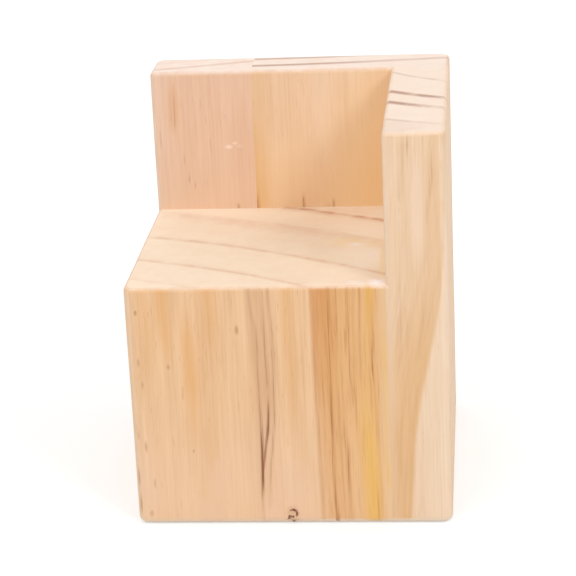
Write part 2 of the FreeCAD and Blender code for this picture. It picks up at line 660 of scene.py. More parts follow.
class Pine(Finish):
    """Bare pine with upright fibres: base tones, fibre streaks, resin dashes and end grain."""

    def __init__(self, name, shift):
        super().__init__(name)
        self.shift = shift
        self.fibres = self.noise(FIBRES, shift)
        self.streaks = self.noise(STREAKS, shift)
        self.bands = self.noise(BANDS, shift)
        self.strands = self.noise(STRANDS, shift)
        self.resin = self.fade(self.noise(RESIN, shift), *DARK_RESIN)
        self.end_grain = self.fade(self.math("ABSOLUTE", self.facing_z), *CUT_ACROSS)
        self.front = self.fade(self.facing_y, *FACES_FRONT)

    def long_tones(self, pale, warm, dark):
        """The colour of faces along the fibres."""
        colour = self.mix(self.fade(self.bands, *WARM_BANDS), pale, warm)
        colour = self.mix(self.fade(self.streaks, *DARK_STREAKS), colour, dark)
        colour = self.mix(self.fade(self.fibres, *DARK_FIBRES), colour, dark)
        colour = self.mix(self.fade(self.fibres, *PALE_FIBRES), colour, pale)
        colour = self.mix(self.times(self.resin, RESIN_SHARE), colour, dark)
        clouds = self.noise(CLOUDS, self.shift)
        return self.mix(self.fade(clouds, *DARK_CLOUDS), colour, dark)

    def drawn(self, share):
        """Dark fibres inside a soft share: the stronger the share, the closer they stand."""
        raised = self.math("MULTIPLY_ADD", share, DRAWN_RAISE, self.strands)
        return self.times(self.fade(raised, *DRAWN_FIBRES), self.fade(share, *DRAWN_INSIDE))

    def end_tones(self, pale, dull):
        """The colour of faces across the fibres, whose given tones are paler partly as painted light on the
        brightly lit tops.
        """
        mottle = self.noise(MOTTLE, self.shift)
        pores = self.noise(PORES, self.shift)
        colour = self.mix(self.fade(mottle, *DULL_MOTTLE), pale, dull)
        return self.mix(self.fade(pores, *DULL_PORES), colour, dull)

    def sanded_and_highlit_edges(self, colour, pale, rim):
        """Rounded edges: pale where fibres are freshly cut, with a painted highlight on top of that, warmer
        on upper rims, and palest at the foot, where a painted highlight runs.
        """
        shares = [self.math("ABSOLUTE", share) for share in (self.facing_x, self.facing_y, self.facing_z)]
        # Pale rounds: partly the paler sanded wood, partly a painted highlight
        worn = self.fade(self.noise(EDGE_PATCHES, self.shift), *EDGE_WEAR_AND_HIGHLIGHT)
        rounds = self.times(self.fade(self.most(*shares), *ROUNDED), worn)
        tone = self.mix(self.fade(self.facing_z, *UPPER_RIM), pale, rim)
        # Palest at the foot: a painted highlight along the floor edge
        return self.mix(self.fade(self.z, *FOOT_HIGHLIGHT_HEIGHT), self.mix(rounds, colour, tone), FOOT_HIGHLIGHT_TONE)

    def relief(self):
        """Raised fibres along the grain and a fine nap across it."""
        nap = self.noise(NAP, self.shift)
        return self.add("Mix", self.end_grain, None, self.fibres, nap).outputs[0]

    def bare(self, colour):
        """Ends the finish as bare sanded wood, whose gloss varies a little with the streaks."""
        return self.surface(colour, self.relief(), self.fade(self.streaks, *SATIN))


# Finish of the block under the seat

CORE_SHIFT = 0.0
CORE_HEART = (-143.0, -284.0)
CORE_LEAN = 0.006
CORE_WOBBLE = 1.0

# Tones along the fibres (pale, warm, dark), across them (pale, dull) and on edges (upright, rim), the
# upright edge tone partly a painted highlight
CORE_TONES = (rgb(243, 205, 166), rgb(240, 198, 155), rgb(214, 163, 114))
# The tones across the fibres are paler and greyer, partly end grain and partly painted light on the brightly
# lit tops
CORE_END_TONES = (rgb(244, 222, 197), rgb(239, 213, 187))
CORE_EDGE_TONES = (rgb(248, 219, 190), rgb(222, 176, 142))

# Growth rings of the block, along its fibres and across them: distance from the heart and darkness
CORE_LONG_RINGS = (
    (251, 0), (260.8, 0), (261.4, 0.25), (264, 0),
    (278.8, 0), (279.2, 1.0), (280.0, 0.85), (282.2, 0.65), (283.0, 0.2), (287, 0.1),
    (299.5, 0.1), (300.8, 0.8), (302.4, 0.05), (322, 0.0), (326, 0.5), (327.4, 0.05),
    (342.6, 0.1), (344.8, 0.9), (346.4, 0.1), (360, 0.0),
)
CORE_END_RINGS = (
    (250, 0), (260.0, 0), (261.3, 0.32), (262.2, 0.08), (265, 0),
    (276.9, 0), (278.6, 0.56), (279.4, 0.2), (281.4, 0.04), (286, 0),
    (298.6, 0), (300.9, 0.60), (301.7, 0.2), (303.8, 0.03), (310, 0.02),
    (318.5, 0.04), (324.6, 0.30), (326.8, 0.28), (328.2, 0.05), (333, 0.0),
    (340.6, 0.08), (343.0, 0.4), (344.4, 1.0), (345.4, 0.8), (346.4, 0.25), (352, 0.12), (360, 0.1),
)

# Grains and soft steps of the block, in the forms above
CORE_FINE_GRAIN = (0.42, 19, 3.0, 0.62, 0)
CORE_RING_GRAIN = (6, 6, 3.0, 0.6, 43)
CORE_OUTER_WOOD = (278.6, 281.0)
CORE_OUTER_FACES = (-0.3, -0.9, 0.25, 0.55)
CORE_FINE_RINGS = (0.48, 0.72)
CORE_FINE_FACES = (-0.3, -0.9, 0.25, 0.6)
CORE_LATE_HEIGHT = (20, 78, 0.32, 1.0)
CORE_LATE_STRANDS = (0.30, 0.60, 0.65, 1.0)
CORE_BESIDE_GLUE = (27.2, 30.0)
# Where the painted light beside the lip reaches
CORE_BY_SIDE_LIP = (6, 28)
CORE_BY_BACK_LIP = (12, 30, 0.0, 0.6)
CORE_OFF_RIM = (-46, -22, 0.05, 1.0)
CORE_NEAR_SEAT = (60, 70)
CORE_FAINT_RINGS = (0.32, 0.62, 0.4, 1.0)

# Coats of the block
CORE_OUTER_COAT = coat(1.0, 231, 174, 104)
CORE_FINE_COAT = coat(1.0, 196, 138, 84)
CORE_GLUE_COAT = coat(0.72, 236, 202, 163)
CORE_LATE_COAT = coat(0.80, 208, 138, 76)
# Painted light: a pale coat on the seat beside the lip, lifting the shadow that the lip casts there
CORE_LIP_PAINTED_LIGHT_COAT = coat(0.85, 254, 240, 219)
CORE_RING_COAT = coat(0.90, 206, 152, 114)


def core_pine():
    """Pale pine with wide rings across the seat, and dark and yellow streaks down the front."""
    wood = Pine("core_pine", CORE_SHIFT)
    rings = wood.rings(CORE_HEART, CORE_LEAN, CORE_WOBBLE)
    colour = core_sides(wood, rings)
    colour = wood.mix(wood.end_grain, colour, core_ends(wood, rings))
    colour = wood.sanded_and_highlit_edges(colour, *CORE_EDGE_TONES)
    colour = core_front(wood, colour)
    colour = knot_bark(wood, colour)
    colour = seat_stains(wood, colour)
    return wood.bare(colour)


def core_sides(wood, rings):
    """The block along its fibres: outer, warmer wood with fine rings past one dark ring."""
    colour = wood.long_tones(*CORE_TONES)
    outer = wood.fade(rings, *CORE_OUTER_WOOD)
    colour = wood.lay(colour, CORE_OUTER_COAT, outer, wood.fade(wood.facing_y, *CORE_OUTER_FACES))
    fine_rings = wood.noise(CORE_FINE_GRAIN, place=wood.join(rings, 0.0, wood.z))
    fine = wood.times(outer, wood.fade(fine_rings, *CORE_FINE_RINGS))
    colour = wood.lay(colour, CORE_FINE_COAT, fine, wood.fade(wood.facing_y, *CORE_FINE_FACES))
    colour = wood.lay(colour, CORE_GLUE_COAT, wood.fade(wood.x, *CORE_BESIDE_GLUE))
    late = wood.times(wood.steps(rings, CORE_LONG_RINGS), wood.fade(wood.z, *CORE_LATE_HEIGHT))
    return wood.lay(colour, CORE_LATE_COAT, late, wood.fade(wood.strands, *CORE_LATE_STRANDS))


def core_ends(wood, rings):
    """The block across its fibres: painted light beside the lip, which lifts the lip's shadow on the seat,
    and faint wide rings.
    """
    # Painted light on the seat beside the lip, lifting the lip's shadow
    painted_light_by_lip = wood.most(wood.fade(wood.x, *CORE_BY_SIDE_LIP), wood.fade(wood.y, *CORE_BY_BACK_LIP))
    painted_light_by_lip = wood.times(painted_light_by_lip, wood.fade(wood.y, *CORE_OFF_RIM), wood.fade(wood.z, *CORE_NEAR_SEAT))
    colour = wood.lay(wood.end_tones(*CORE_END_TONES), CORE_LIP_PAINTED_LIGHT_COAT, painted_light_by_lip)
    faint = wood.fade(wood.noise(CORE_RING_GRAIN), *CORE_FAINT_RINGS)
    return wood.lay(colour, CORE_RING_COAT, wood.steps(rings, CORE_END_RINGS), faint)


# Figure on the block's front

# The dark streak: for each strand its heights, places across and strengths, then its half width
FRONT_STREAK = (
    (((0, -10.0, 0.3), (8, -9.8, 0.4), (16, -9.5, 1.0), (30, -9.2, 0.95), (45, -9.3, 0.5), (60, -9.3, 0.5),
      (72, -10.5, 0.4), (80, -11.0, 0.4)), 1.15),
    (((9, -9.7, 0.0), (15, -9.5, 0.9), (25, -8.3, 1.0), (38, -6.7, 0.8), (50, -6.5, 0.0)), 1.0),
    (((4, -7.6, 0.0), (16, -7.0, 0.6), (30, -5.5, 0.55), (42, -4.7, 0.4), (57, -4.3, 0.6),
      (80, -5.3, 0.5)), 1.05),
    (((42, -6.5, 0.0), (48, -6.5, 0.5), (60, -6.8, 0.55), (80, -7.4, 0.35)), 1.2),
)

# Brown lines in and beside the warm band, in the same form
FRONT_LINES = (
    (((0, 9.6, 0.35), (28, 8.8, 0.65), (60, 8.5, 0.3), (80, 8.4, 0.0)), 1.1),
    (((0, 13.8, 1.0), (26, 13.1, 0.75), (40, 13.1, 0.6), (57, 13.0, 0.75), (80, 13.1, 0.55)), 1.1),
    (((30, 19.8, 0.0), (54, 19.3, 0.6), (66, 19.2, 0.7), (80, 19.1, 0.4)), 0.9),
    (((20, 20.6, 0.0), (40, 20.6, 0.5), (80, 21.1, 0.35)), 0.8),
    (((46, 23.2, 0.0), (60, 22.5, 0.6), (80, 22.9, 0.4)), 0.9),
    (((4, 28.0, 0.2), (46, 26.8, 0.35), (53, 26.4, 1.0), (59, 26.3, 0.8), (64, 26.2, 0.3),
      (80, 25.9, 0.4)), 0.8),
    (((1, 17.8, 0.45), (16, 17.7, 0.65), (36, 16.9, 0.5), (50, 16.6, 0.0)), 1.5),
    (((0, 16.3, 0.3), (34, 15.4, 0.5), (50, 15.2, 0.3), (80, 15.6, 0.5)), 0.9),
    (((0, 27.2, 0.5), (8, 27.0, 0.45), (20, 26.8, 0.0)), 0.9),
)

# Warm soft bands, in the same form
FRONT_BANDS = (
    (((24, -30.0, 0.0), (36, -30.2, 0.6), (50, -30.4, 1.0), (64, -30.7, 0.8), (74, -31, 0.0)), 3.8),
    (((52, -37.6, 0.0), (64, -37.8, 0.8), (80, -38.4, 0.9)), 3.8),
    (((56, -23.0, 0.0), (70, -23.2, 0.5), (80, -23.6, 0.6)), 3.4),
    (((6, -25.0, 0.0), (24, -25.4, 0.4), (44, -25.8, 0.0)), 3.0),
    (((20, 1.0, 0.0), (50, 0.6, 0.5), (80, 0.2, 0.6)), 3.6),
    (((44, -43.0, 0.0), (62, -43.0, 0.4), (80, -43.4, 0.5)), 5.0),
)

# Greyish smudge round the dark streak, in the same form
FRONT_SMUDGE = (
    (((2, -9.4, 0.2), (16, -9.0, 0.7), (44, -7.4, 1.0), (66, -7.6, 0.9), (80, -8.2, 0.8)), 4.4),
    (((44, -9.9, 0.0), (58, -10.2, 1.0), (80, -11.0, 1.0)), 2.2),
)

# Yellow streaks, in the same form
FRONT_YELLOW = (
    (((0, 25.6, 0.9), (14, 25.2, 1.0), (28, 24.6, 0.85), (40, 24.3, 0.4), (52, 24.5, 0.0)), 4.9),
    (((28, 24.4, 0.0), (38, 24.3, 0.55), (48, 24.5, 0.25), (60, 25.0, 0.2), (68, 25.5, 0.5),
      (80, 26.0, 0.9)), 2.1),
    (((8, 30.2, 0.0), (25, 30.1, 0.35), (45, 29.9, 0.35), (56, 29.9, 0.65), (70, 29.9, 0.1)), 1.3),
    (((8, 30.2, 0.0), (15, 30.0, 0.6), (24, 29.8, 0.5), (32, 29.6, 0.0)), 1.5),
)

# Small dark flecks: place, half width, half height, strength
FRONT_FLECKS = (
    ((-15.2, 66.0), 0.9, 2.2, 0.75),
    ((-37.2, 54.0), 0.8, 1.3, 0.6),
    ((-46.3, 72.0), 0.7, 1.3, 0.8),
    ((-46.4, 55.5), 0.6, 2.0, 0.55),
    ((-45.6, 48.0), 0.6, 1.8, 0.5),
    ((-45.9, 27.0), 0.6, 2.8, 0.6),
    ((-44.0, 14.5), 0.5, 2.4, 0.45),
    ((-45.5, 4.0), 0.9, 1.8, 0.5),
    ((-31.0, 25.5), 0.6, 0.9, 0.5),
    ((-48.9, 16.5), 0.6, 4.4, 0.7),
    ((-48.7, 7.0), 0.6, 4.8, 0.8),
    ((-48.2, 31.0), 0.5, 2.6, 0.4),
)

# Grains and soft steps of the front, in the forms above, and how far its lines sway
FRONT_SWAY_GRAIN = (5, 40, 2.0, 0.5, 31)
FRONT_SWAY = 0.9
FRONT_PINK_GRAIN = (9, 16, 2.0, 0.5, 59)
FRONT_PINK = (0.45, 0.7)
FRONT_LOWER = (50, 4)
FRONT_LOW_ACROSS = (4, 14, 0.36, 0.20)
FRONT_LEFT_HALF = (12, -4)
FRONT_YELLOW_STRANDS = (0.3, 0.6, 1.0, 0.75)
AROUND_FRONT = (-0.25, -0.5)

# Coats of the front
BAND_COAT = coat(0.62, 231, 172, 108)
SMUDGE_COAT = coat(0.42, 206, 158, 120)
LOW_COAT = coat(1.0, 243, 207, 175)
PINK_COAT = coat(0.45, 240, 200, 174)
YELLOW_COAT = coat(0.8, 239, 187, 86)
LINE_HALO_COAT = coat(0.40, 202, 138, 82)
LINE_COAT = coat(0.70, 150, 86, 40)
STREAK_HALO_COAT = coat(0.42, 190, 136, 100)
STREAK_COAT = coat(0.86, 130, 78, 50)
FLECK_COAT = coat(0.6, 164, 100, 58)


def core_front(wood, colour):
    """The figure on the block's front, whose flecks also run round its upright edge."""
    sway = wood.math("SUBTRACT", wood.noise(FRONT_SWAY_GRAIN), 0.5)
    across = wood.math("MULTIPLY_ADD", sway, FRONT_SWAY, wood.x)
    low = wood.fade(wood.z, *FRONT_LOWER)
    pink = wood.times(wood.fade(wood.noise(FRONT_PINK_GRAIN), *FRONT_PINK), low)
    yellow = wood.times(wood.lines(across, FRONT_YELLOW), wood.fade(wood.strands, *FRONT_YELLOW_STRANDS))
    lines = wood.lines(across, FRONT_LINES)
    streak = wood.lines(across, FRONT_STREAK)
    flecks = wood.spots(across, wood.z, FRONT_FLECKS)
    colour = wood.lay(colour, BAND_COAT, wood.lines(across, FRONT_BANDS), wood.front)
    colour = wood.lay(colour, SMUDGE_COAT, wood.lines(across, FRONT_SMUDGE), wood.front)
    colour = wood.lay(colour, LOW_COAT, low, wood.front, wood.fade(wood.x, *FRONT_LOW_ACROSS))
    colour = wood.lay(colour, PINK_COAT, pink, wood.fade(wood.x, *FRONT_LEFT_HALF), wood.front)
    colour = wood.lay(colour, YELLOW_COAT, yellow, wood.front)
    colour = wood.lay(colour, LINE_HALO_COAT, lines, wood.front)
    colour = wood.lay(colour, LINE_COAT, wood.drawn(lines), wood.front)
    colour = wood.lay(colour, STREAK_HALO_COAT, streak, wood.front)
    colour = wood.lay(colour, FLECK_COAT, flecks, wood.fade(wood.facing_y, *AROUND_FRONT))
    return wood.lay(colour, STREAK_COAT, wood.drawn(streak), wood.front)


# Bark of the pin knot: grain, soft steps, spots and coats, in the forms above
KNOT_GRAIN = (0.8, 0.8, 2.0, 0.5, 37)
KNOT_UNEVEN = (0.35, 0.6, 0.5, 1.0)
KNOT_INWARDS = (FRONT / MM + 0.05, FRONT / MM + 0.20)
KNOT_ABOVE_ROUND = (1.2, 1.9)
KNOT_STAIN = (KNOT_PLACE, 3.0, 4.2, 0.5)
KNOT_REACH = (KNOT_PLACE, 5.0, 5.0, 1.0)
KNOT_LOW_PIT = ((-0.25, 0.8), 0.9, 0.9, 0.8)
KNOT_STAIN_COAT = coat(1.0, 198, 146, 106)
BARK_COAT = coat(1.0, 112, 66, 36)


def knot_bark(wood, colour):
    """Dark bark in the knot's groove and pits, and a brown stain round it."""
    uneven = wood.fade(wood.noise(KNOT_GRAIN), *KNOT_UNEVEN)
    colour = wood.lay(colour, KNOT_STAIN_COAT, wood.spot(wood.x, wood.z, *KNOT_STAIN), uneven)
    carved = wood.times(wood.spot(wood.x, wood.z, *KNOT_REACH), wood.fade(wood.y, *KNOT_INWARDS),
                        wood.fade(wood.z, *KNOT_ABOVE_ROUND))
    bark = wood.most(carved, wood.spot(wood.x, wood.z, *KNOT_LOW_PIT))
    return wood.lay(colour, BARK_COAT, bark, uneven)


# Dried glue on the seat: grain, soft steps, spots and coats, in the forms above
GLUE_GRAIN = (2.2, 2.2, 3.0, 0.65, 47)
GLUE_BLOTCH = (0.34, 0.58, 0.25, 1.0)
SEAT_FLAT = (0.6, 0.95)
SEAT_RIM = (0.1, 0.5)
GLUE_TINTS = (((17.0, -8.0), 9.0, 8.0, 0.8), ((26.0, -9.0), 7.0, 7.0, 0.6), ((29.6, -24.0), 2.2, 26.0, 1.0))
GLUE_SMEARS = (
    ((19.4, -10.2), 4.6, 2.8, 0.9), ((25.3, -20.6), 1.9, 8.5, 0.75), ((22.6, -30.0), 5.0, 4.0, 0.35),
)
GLUE_BLOBS = (((28.6, -46.6), 4.4, 4.4, 1.0), ((22.0, -47.0), 5.0, 2.6, 0.5))
TINT_COAT = coat(0.45, 243, 214, 152)
SMEAR_COAT = coat(1.0, 252, 236, 226)
BLOB_COAT = coat(0.9, 250, 242, 240)


def seat_stains(wood, colour):
    """Dried glue on the seat near the lip: a yellow tint, pale smears and blobs on the rim."""
    near_seat = wood.fade(wood.z, *CORE_NEAR_SEAT)
    seat = wood.times(wood.fade(wood.facing_z, *SEAT_FLAT), near_seat)
    rim = wood.times(wood.fade(wood.facing_z, *SEAT_RIM), near_seat)
    blotch = wood.fade(wood.noise(GLUE_GRAIN), *GLUE_BLOTCH)
    colour = wood.lay(colour, TINT_COAT, wood.spots(wood.x, wood.y, GLUE_TINTS), seat)
    colour = wood.lay(colour, SMEAR_COAT, wood.spots(wood.x, wood.y, GLUE_SMEARS), blotch, seat)
    return wood.lay(colour, BLOB_COAT, wood.spots(wood.x, wood.y, GLUE_BLOBS), blotch, rim)


# Finish of the side board

SIDE_SHIFT = 40.0
SIDE_HEART = (85.0, 75.0)
SIDE_LEAN = 0.052
SIDE_WOBBLE = 0.8
SIDE_TONES = (rgb(246, 219, 190), rgb(244, 213, 182), rgb(218, 177, 138))
# The tones across the fibres are paler and greyer, partly end grain and partly painted light on the brightly
# lit tops
SIDE_END_TONES = (rgb(242, 222, 205), rgb(239, 213, 193))
# The upright edge tone is partly a painted highlight
SIDE_EDGE_TONES = (rgb(249, 226, 202), rgb(236, 204, 174))

# Growth rings of the side board, along its fibres and across them
SIDE_LONG_RINGS = (
    (60, 0), (98, 0), (99, 0.6), (100.4, 0), (109, 0), (110.2, 0.6), (112, 0), (127.6, 0), (128.6, 0.3),
    (130, 0), (133.8, 0), (134.15, 0.85), (136.2, 0.7), (138.0, 0.42), (139.5, 0.25), (141, 0.1), (150, 0.0),
)
SIDE_END_RINGS = (
    (60, 0), (79.0, 0), (80.2, 0.4), (81.8, 0), (97.4, 0), (98.7, 0.95), (100.2, 0.8), (101.6, 0),
    (108.6, 0), (109.8, 0.95), (111.6, 0.85), (113.0, 0), (127.2, 0), (128.6, 0.45), (130.2, 0.12),
    (140, 0.15),
)

# How far the side board's rings bend from a straight lean: height and shift
SIDE_BEND = ((0, 0.2), (16, -0.2), (34, -0.6), (54, -0.35), (80, -0.2), (128, 0.0))

# Short brown dashes high on the side board's front, and the pale wood between them
SIDE_DASHES = (
    (((102, 36.0, 0.0), (108, 36.2, 0.6), (124, 37.0, 0.8), (128, 37.2, 0.4)), 2.3),
    (((117, 38.4, 0.0), (124, 38.6, 0.9), (128, 38.7, 0.4)), 0.9),
    (((84, 43.6, 0.0), (100, 44.0, 0.6), (116, 45.6, 0.7), (127, 46.0, 0.3)), 1.5),
)
SIDE_PALE_SPOT = ((41.2, 104.0), 3.6, 26.0, 0.6)

# Grains and soft steps of the side board, in the forms above
SIDE_FINE_GRAIN = (0.40, 24, 3.0, 0.6, 5)
SIDE_PATCH_GRAIN = (4, 4, 2.0, 0.5, 9)
SIDE_LATE_HEIGHT = (84, 56, 0.8, 1.0)
SIDE_TAN_WOOD = (133.7, 134.7)
SIDE_FINE_RINGS = (0.45, 0.7)
SIDE_FINE_HEIGHT = (88, 56, 0.10, 0.36)
SIDE_WARM_HEIGHT = (74, 50)
SIDE_BESIDE_GLUE = (34.0, 32.2)
SIDE_GLUE_HEIGHT = (30, 66, 0.45, 1.0)
SIDE_PATCHY = (0.3, 0.6, 0.4, 1.0)
SIDE_INNER_HALF = (43, 36)
SIDE_INNER_RINGS = (106, 104)
SIDE_WORN_ACROSS = (47, 37, 0.45, 1.0)

# Coats of the side board
SIDE_LATE_COAT = coat(0.8, 226, 177, 122)
SIDE_FINE_COAT = coat(1.0, 208, 158, 112)
SIDE_WARM_COAT = coat(0.30, 230, 182, 126)
SIDE_GLUE_COAT = coat(0.5, 234, 202, 170)
SIDE_PALE_COAT = coat(1.0, 246, 217, 192)
SIDE_DASH_HALO_COAT = coat(0.40, 228, 184, 140)
SIDE_DASH_COAT = coat(0.42, 186, 130, 84)
SIDE_RING_COAT = coat(0.9, 172, 128, 106)


def side_pine():
    """Pale board whose tan side meets a paler wedge along a slanting ring."""
    wood = Pine("side_pine", SIDE_SHIFT)
    rings = wood.rings(SIDE_HEART, SIDE_LEAN, SIDE_WOBBLE)
    rings = wood.math("ADD", rings, wood.curve(wood.z, SIDE_BEND))
    colour = side_faces(wood, rings)
    colour = wood.mix(wood.end_grain, colour, side_top(wood, rings))
    colour = wood.sanded_and_highlit_edges(colour, *SIDE_EDGE_TONES)
    return wood.bare(colour)


def side_faces(wood, rings):
    """The side board along its fibres."""
    late = wood.times(wood.steps(rings, SIDE_LONG_RINGS), wood.fade(wood.z, *SIDE_LATE_HEIGHT))
    colour = wood.lay(wood.long_tones(*SIDE_TONES), SIDE_LATE_COAT, late)
    tan = wood.fade(rings, *SIDE_TAN_WOOD)
    fine_rings = wood.noise(SIDE_FINE_GRAIN, place=wood.join(rings, 0.0, wood.z))
    fine = wood.times(tan, wood.fade(fine_rings, *SIDE_FINE_RINGS))
    colour = wood.lay(colour, SIDE_FINE_COAT, fine, wood.fade(wood.z, *SIDE_FINE_HEIGHT))
    colour = wood.lay(colour, SIDE_WARM_COAT, tan, wood.fade(wood.z, *SIDE_WARM_HEIGHT), wood.front)
    by_glue = wood.fade(wood.x, *SIDE_BESIDE_GLUE)
    colour = wood.lay(colour, SIDE_GLUE_COAT, by_glue, wood.fade(wood.z, *SIDE_GLUE_HEIGHT))
    colour = wood.lay(colour, SIDE_PALE_COAT, wood.spot(wood.x, wood.z, *SIDE_PALE_SPOT), wood.front)
    dashes = wood.lines(wood.x, SIDE_DASHES)
    colour = wood.lay(colour, SIDE_DASH_HALO_COAT, dashes, wood.front)
    return wood.lay(colour, SIDE_DASH_COAT, wood.drawn(dashes), wood.front)


def side_top(wood, rings):
    """The side board across its fibres: dark rings, patchy and partly worn."""
    patchy = wood.fade(wood.noise(SIDE_PATCH_GRAIN), *SIDE_PATCHY)
    patchy = wood.most(patchy, wood.fade(wood.x, *SIDE_INNER_HALF))
    worn = wood.most(wood.fade(rings, *SIDE_INNER_RINGS), wood.fade(wood.x, *SIDE_WORN_ACROSS))
    late = wood.times(wood.steps(rings, SIDE_END_RINGS), worn)
    return wood.lay(wood.end_tones(*SIDE_END_TONES), SIDE_RING_COAT, late, patchy)


# Finish of the back board's left stave

LEFT_SHIFT = 80.0
LEFT_HEART = (-114.0, 327.0)
LEFT_LEAN = 0.01
LEFT_WOBBLE = 0.7
LEFT_TONES = (rgb(235, 202, 179), rgb(233, 196, 168), rgb(214, 168, 136))
# The tones across the fibres are paler and greyer, partly end grain and partly painted light on the brightly
# lit tops
LEFT_END_TONES = (rgb(242, 224, 210), rgb(238, 208, 190))
# The upright edge tone is partly a painted highlight
LEFT_EDGE_TONES = (rgb(247, 222, 200), rgb(220, 182, 156))
LEFT_RINGS = (
    (270, 0), (291, 0), (292, 0.3), (293.5, 0), (298.6, 0), (300, 0.8), (301.2, 0.4), (302, 0), (330, 0),
)

# Resin dashes on the left stave, and tan wood round the longest
LEFT_DASHES = (
    (((107, -42.6, 0.0), (110, -42.5, 0.7), (118, -42.3, 0.8), (126, -42.0, 0.0)), 0.6),
    (((106, -43.8, 0.0), (110, -43.7, 0.5), (120, -43.6, 0.4), (122, -43.6, 0.0)), 0.5),
    (((99.5, -30.8, 0.0), (100.5, -30.8, 0.7), (104.5, -30.8, 0.7), (105.5, -30.8, 0.0)), 0.4),
    (((95.0, -40.0, 0.0), (96.5, -40.0, 0.8), (98.5, -40.0, 0.7), (101, -40.0, 0.0)), 0.55),
    (((88.6, -38.6, 0.0), (90, -38.6, 0.9), (92, -38.6, 0.6), (93.5, -38.6, 0.0)), 0.6),
    (((86.6, -36.7, 0.0), (88, -36.7, 0.7), (89.5, -36.7, 0.5), (90.5, -36.7, 0.0)), 0.45),
    (((101, -47.6, 0.0), (103, -47.6, 0.7), (107, -47.7, 0.6), (109, -47.7, 0.0)), 0.6),
    (((79, -22.4, 1.0), (81, -22.4, 0.9), (82.5, -22.4, 0.0)), 1.2),
)
LEFT_DASH_HALO = 0.4
LEFT_TAN_SPOT = ((-42.6, 116.0), 2.8, 14.0, 0.5)

# A small chip in the left stave's face
LEFT_CHIP = (
    ((-24.6, 101.8), 1.9, 1.0, 0.7), ((-22.4, 103.0), 1.4, 0.8, 0.5), ((-21.0, 102.0), 2.0, 0.9, 0.2),
)

# Soft step and coats of the left stave
LEFT_LOWER = (106, 84)
LEFT_LATE_COAT = coat(0.5, 206, 150, 108)
# Painted shade: a darker, yellower coat low on the left stave, tempering the warm light bounced up from the
# seat
LEFT_LOW_PAINTED_SHADE_COAT = coat(0.35, 222, 188, 158)
LEFT_RING_COAT = coat(0.6, 206, 158, 132)
LEFT_TAN_COAT = coat(1.0, 222, 170, 126)
LEFT_DASH_COAT = coat(0.5, 160, 104, 70)
LEFT_CHIP_COAT = coat(1.0, 246, 224, 208)


def back_left_pine():
    """Pinkish stave with short dark resin dashes."""
    wood = Pine("back_left_pine", LEFT_SHIFT)
    late = wood.steps(wood.rings(LEFT_HEART, LEFT_LEAN, LEFT_WOBBLE), LEFT_RINGS)
    colour = wood.lay(wood.long_tones(*LEFT_TONES), LEFT_LATE_COAT, late)
    # Painted shade low on the stave, against the warm light bounced from the seat
    colour = wood.lay(colour, LEFT_LOW_PAINTED_SHADE_COAT, wood.fade(wood.z, *LEFT_LOWER))
    end = wood.lay(wood.end_tones(*LEFT_END_TONES), LEFT_RING_COAT, late)
    colour = wood.mix(wood.end_grain, colour, end)
    colour = wood.sanded_and_highlit_edges(colour, *LEFT_EDGE_TONES)
    colour = wood.lay(colour, LEFT_TAN_COAT, wood.spot(wood.x, wood.z, *LEFT_TAN_SPOT), wood.front)
    dashes = wood.lines(wood.x, LEFT_DASHES)
    dashes = wood.most(wood.drawn(dashes), wood.times(dashes, LEFT_DASH_HALO))
    colour = wood.lay(colour, LEFT_DASH_COAT, dashes, wood.front)
    colour = wood.lay(colour, LEFT_CHIP_COAT, wood.spots(wood.x, wood.z, LEFT_CHIP), wood.front)
    return wood.bare(colour)


# Finish of the back board's right stave

RIGHT_SHIFT = 120.0
RIGHT_HEART = (-23.0, 490.0)
RIGHT_LEAN = 0.01
RIGHT_WOBBLE = 0.5
RIGHT_TONES = (rgb(239, 209, 180), rgb(236, 202, 168), rgb(218, 174, 132))
# The tones across the fibres are paler and greyer, partly end grain and partly painted light on the brightly
# lit tops
RIGHT_END_TONES = (rgb(242, 224, 210), rgb(238, 212, 194))
# The upright edge tone is partly a painted highlight
RIGHT_EDGE_TONES = (rgb(248, 224, 198), rgb(221, 178, 142))
RIGHT_RINGS = (
    (430, 0), (442.8, 0), (444.0, 0.85), (445.4, 0.5), (446.2, 0), (452.2, 0), (453.6, 1.0), (455, 0.6),
    (456, 0), (470, 0),
)

# Dark stain round the nicks at the foot of the right stave, in the same form as the dashes
RIGHT_STAINS = (
    (((79, 0.0, 1.0), (82.5, 0.0, 0.9), (84, 0.0, 0.4), (86, 0.0, 0.0)), 1.0),
    (((79, 10.2, 1.0), (81.5, 10.2, 0.9), (83.5, 10.2, 0.0)), 0.9),
    (((79, 8.8, 0.5), (80.5, 8.6, 0.4), (82, 8.4, 0.0)), 2.6),
    (((79, -15.4, 1.0), (83, -15.5, 0.8), (86, -15.5, 0.2), (90, -15.6, 0.1)), 1.0),
)

# Soft steps and coats of the right stave
RIGHT_LOWER = (118, 84)
RIGHT_BESIDE_GLUE = (-9.0, -15.6)
RIGHT_GLUE_HEIGHT = (122, 86, 0.35, 1.0)
# Where the painted light near the lip's corner reaches
RIGHT_CORNER = (2, 26)
RIGHT_CORNER_HEIGHT = (146, 104)
RIGHT_WORN_ACROSS = (4, 34, 1.0, 0.5)
RIGHT_LOW_COAT = coat(0.6, 233, 194, 148)
RIGHT_GLUE_COAT = coat(0.6, 223, 176, 116)
# Painted light: a pale coat near the lip's corner, softening the shadow that the side board casts there
RIGHT_CORNER_PAINTED_LIGHT_COAT = coat(0.58, 241, 202, 146)
RIGHT_RING_COAT = coat(0.85, 176, 130, 106)
RIGHT_STAIN_COAT = coat(0.42, 186, 116, 60)


